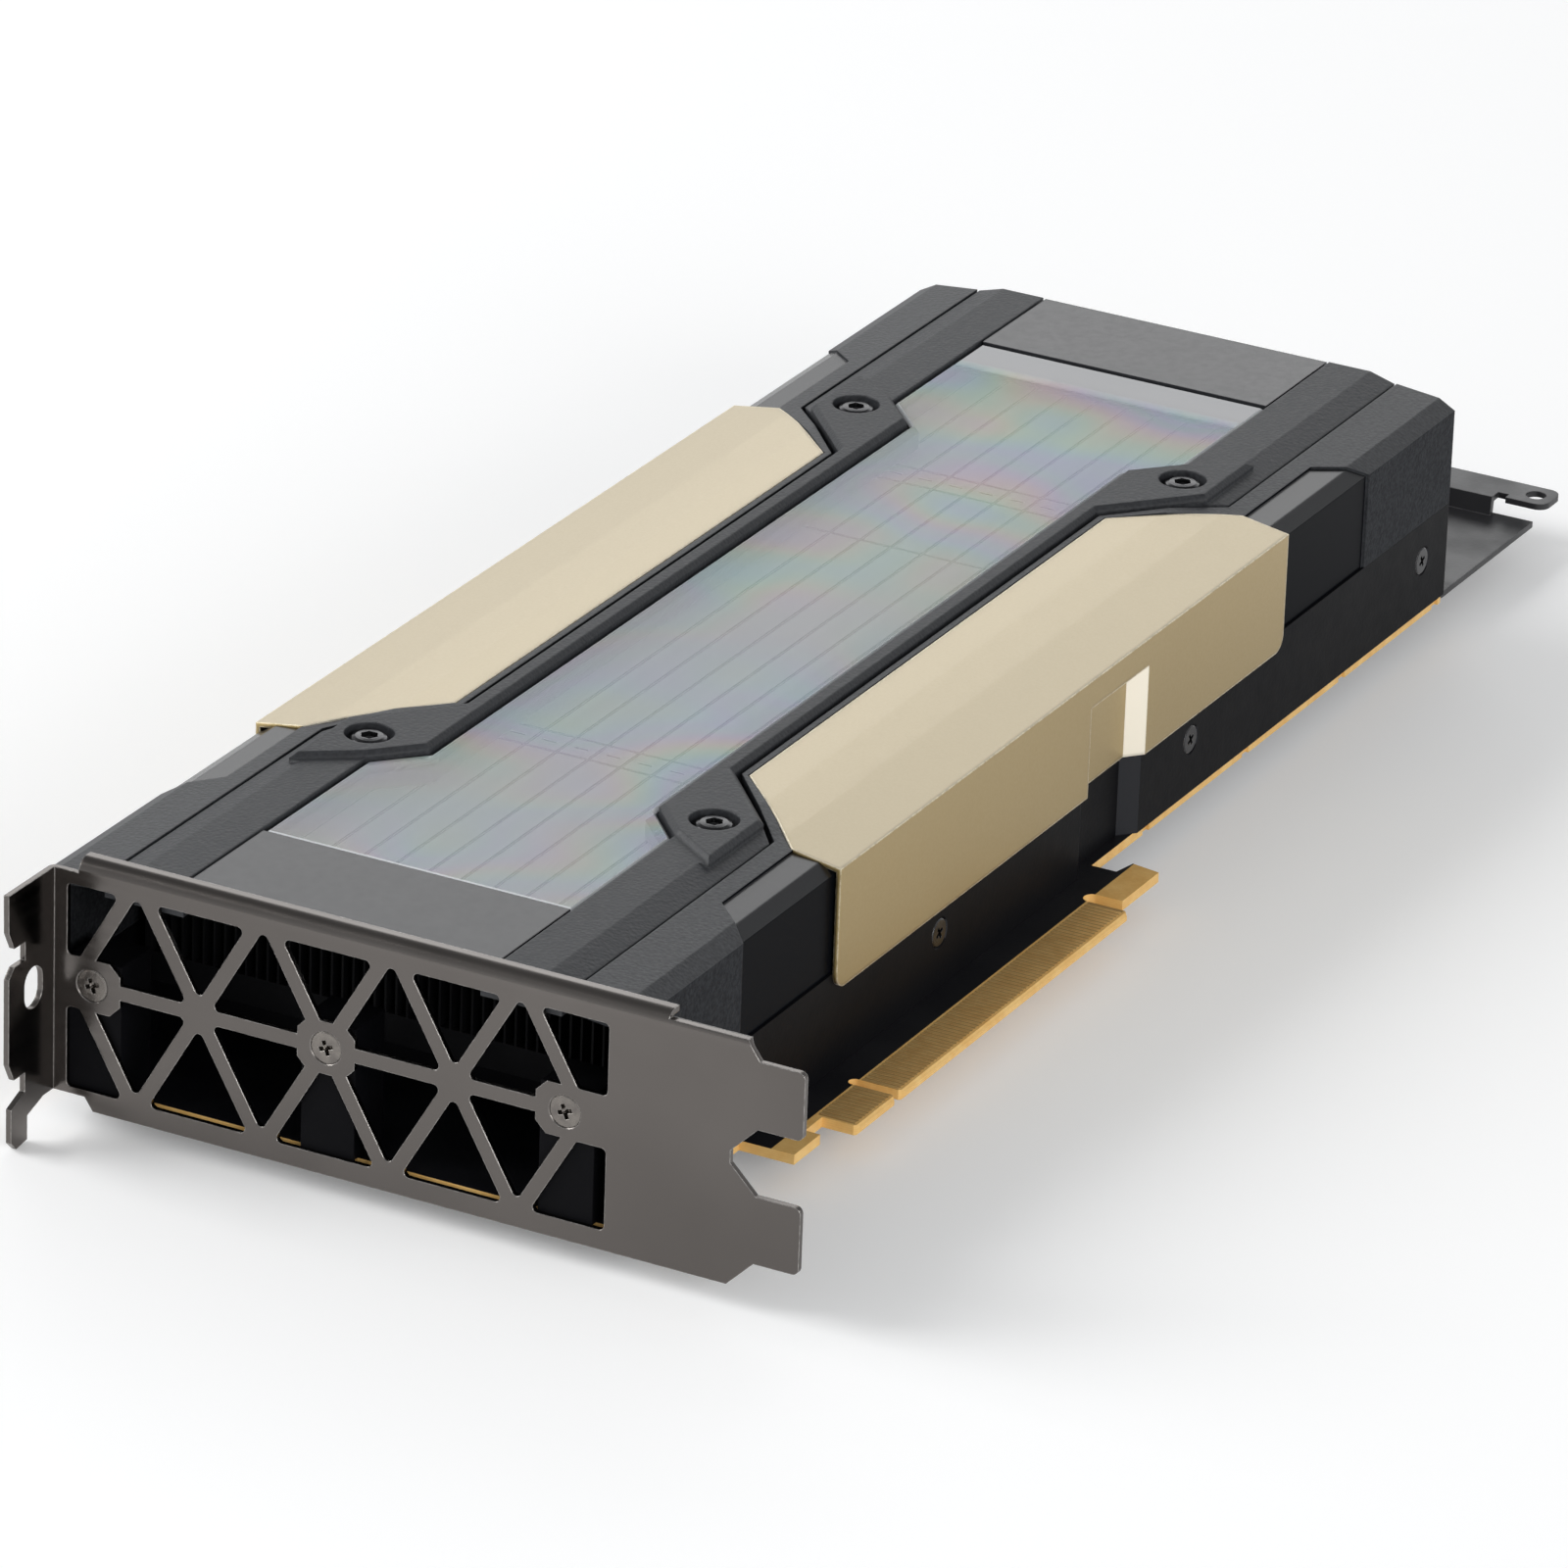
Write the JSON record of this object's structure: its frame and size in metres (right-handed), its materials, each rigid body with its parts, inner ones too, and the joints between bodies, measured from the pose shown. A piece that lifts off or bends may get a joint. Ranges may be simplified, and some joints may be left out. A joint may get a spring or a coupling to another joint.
{
  "type": "accelerator card",
  "caption": "Dual-slot, full-height passive accelerator card with a truss-cut slot bracket, windowed fin stack, gold side covers and a rear extender bracket.",
  "frame": {"origin": "middle of the box round the card, at the level of its lowest point, the tip of the bracket's tongue", "axes": "+X runs up the card towards the edge contacts, +Y from the slot bracket to the power end, +Z from the back plate to the window"},
  "size_m": [0.1228, 0.322, 0.0419],
  "materials": {
    "bracket_metal": "dark nickel plate, satin",
    "screw_metal": "dark nickel plate",
    "frame_black": "cast, black coated, satin",
    "textured_black": "fine grained black moulding",
    "panel_dark": "smooth, satin",
    "window_clear": "clear, thin iridescent film",
    "accent_metal": "pale gold anodised, fine satin",
    "fin_metal": "bare, bright",
    "sink_metal": "bare, milled",
    "board_black": "black solder mask, tan cut edges",
    "package_green": "laminate with metal stiffener",
    "silicon": "polished silicon",
    "choke_grey": "pressed powder",
    "pad_grey": "soft thermal pad",
    "chip_black": "moulded epoxy",
    "can_metal": "bare cans",
    "connector_black": "moulded nylon",
    "pin_metal": "tin plated",
    "plate_black": "black, satin"
  },
  "bodies": {
    "root": {"io_bracket": "bracket_metal", "bracket_screws": "screw_metal", "bracket_posts": "frame_black", "base_frame": "frame_black", "side_screws_left": "screw_metal", "side_screws_right": "screw_metal", "side_cover_left": "textured_black", "side_cover_right": "textured_black", "accent_cover_left": "accent_metal", "accent_cover_right": "accent_metal", "rail_left": "textured_black", "rail_right": "textured_black", "front_panel": "panel_dark", "rear_panel": "panel_dark", "window": "window_clear", "top_screws": "screw_metal", "heatsink_base": "sink_metal", "fin_stack": "fin_metal", "circuit_board": "board_black", "chip_package": "package_green", "processor_die": "silicon", "memory_stacks": "silicon", "chokes": "choke_grey", "thermal_pads": "pad_grey", "power_stages": "chip_black", "capacitors": "can_metal", "power_connector": "connector_black", "connector_pins": "pin_metal", "back_plate": "plate_black", "back_plate_screws": "screw_metal", "extender_bracket": "plate_black", "extender_screws": "screw_metal"}
  },
  "joints": []
}
